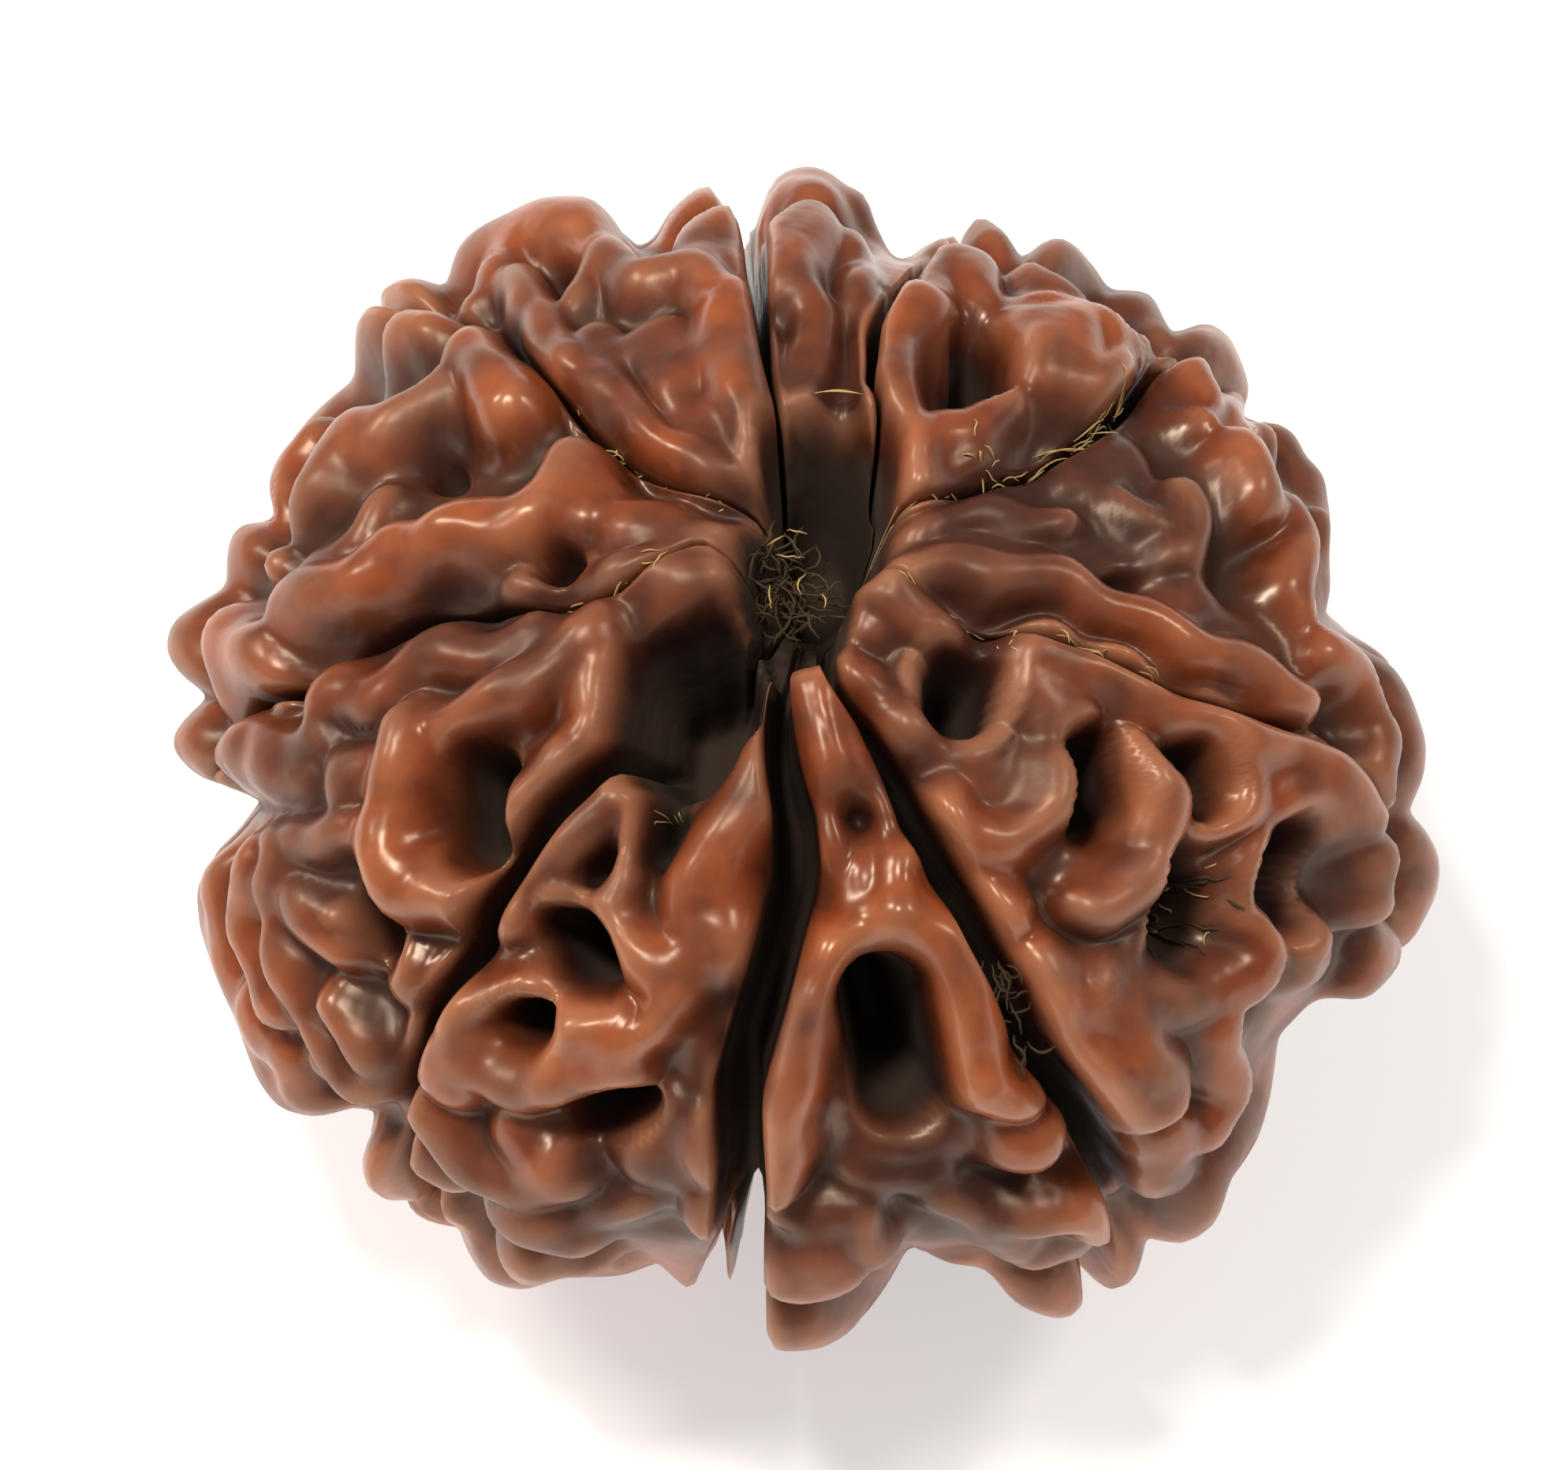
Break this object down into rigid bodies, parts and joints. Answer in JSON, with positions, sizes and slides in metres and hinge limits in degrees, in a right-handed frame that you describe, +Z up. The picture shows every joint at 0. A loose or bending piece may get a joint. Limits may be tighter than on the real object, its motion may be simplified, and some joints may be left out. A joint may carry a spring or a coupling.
{
  "type": "rudraksha bead",
  "caption": "Oblate dried nut with deep radial clefts, knobbly ridged lobes and a natural thread hole, used as a bead.",
  "frame": {"origin": "middle of the bounding box at the flat spots that the bead rests on", "axes": "+Z up along the thread hole towards the stem pole, +Y away from the picture's eye"},
  "size_m": [0.025, 0.0248, 0.0184],
  "materials": {
    "polished_nut": "oiled and polished dried nut, red-brown on the ridges, mauve-brown on the flats, near black in the clefts"
  },
  "bodies": {
    "root": {"rudraksha_bead": "polished_nut"}
  },
  "joints": []
}
